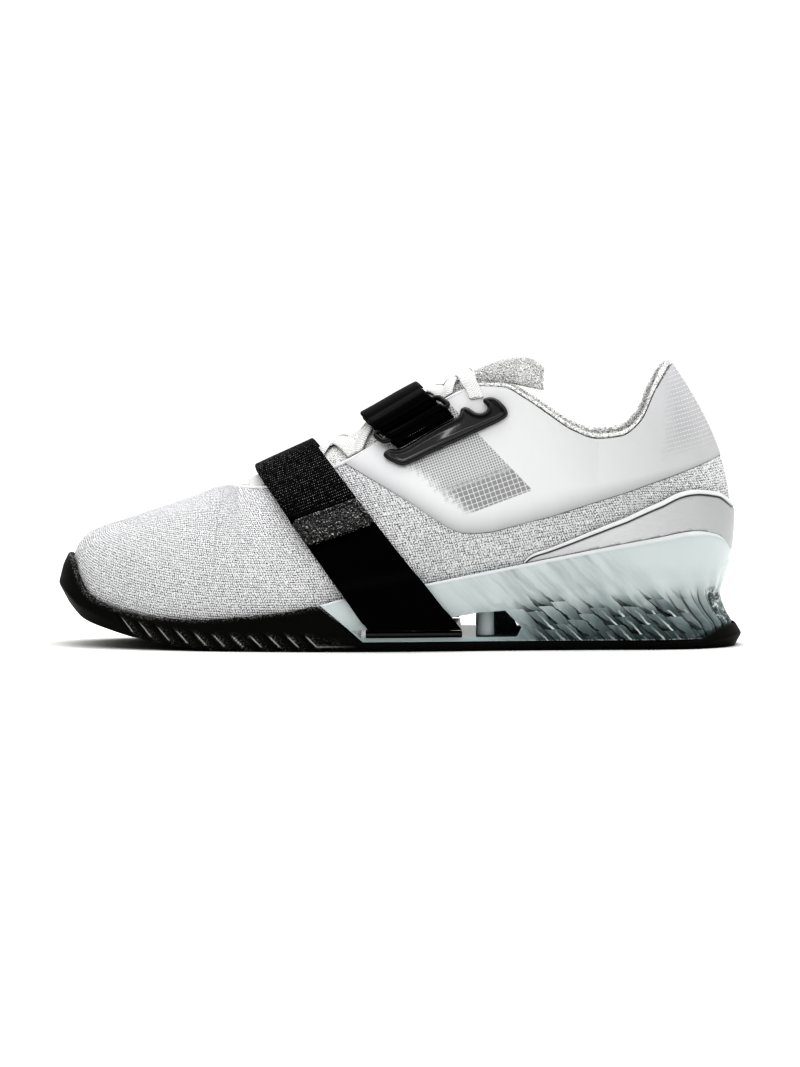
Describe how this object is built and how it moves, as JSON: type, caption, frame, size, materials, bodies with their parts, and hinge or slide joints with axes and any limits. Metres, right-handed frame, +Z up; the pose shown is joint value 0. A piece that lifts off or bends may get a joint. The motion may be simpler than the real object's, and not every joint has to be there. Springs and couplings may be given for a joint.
{
  "type": "weightlifting shoe",
  "caption": "Low weightlifting shoe for the left foot with a knitted upper, flat laces, crossed straps in rings and a raised clear heel.",
  "frame": {"origin": "on the floor, under the middle of the bounding box", "axes": "+X from the toe to the heel, +Y from the outer side of the shoe to its inner side, +Z up"},
  "size_m": [0.2976, 0.108, 0.1245],
  "materials": {
    "black_rubber": "matte black rubber",
    "clear_heel": "icy translucent moulded plastic",
    "black_gloss": "glossy black moulded plastic",
    "pale_liner": "pale grey fabric over foam",
    "white_knit": "white knit with a fused film on the quarter",
    "white_terry": "white looped terry",
    "pale_shell": "pale grey moulded shell, satin",
    "black_web": "black woven strap, smooth band below",
    "white_cord": "white flat woven lace"
  },
  "bodies": {
    "root": {"outsole": "black_rubber", "heel_wedge": "clear_heel", "midfoot_plate": "black_gloss", "insole": "pale_liner", "upper": "white_knit", "collar_lining": "white_terry", "tongue": "white_terry", "heel_counter": "pale_shell", "lace_frame_outer": "black_gloss", "lace_frame_inner": "black_gloss", "lower_strap": "black_web", "lower_strap_tab": "black_rubber", "lower_ring": "black_gloss", "lower_strap_anchor": "black_web", "upper_strap": "black_web", "upper_strap_tab": "black_rubber", "upper_ring": "black_gloss", "upper_strap_anchor": "black_web", "laces": "white_cord"}
  },
  "joints": []
}
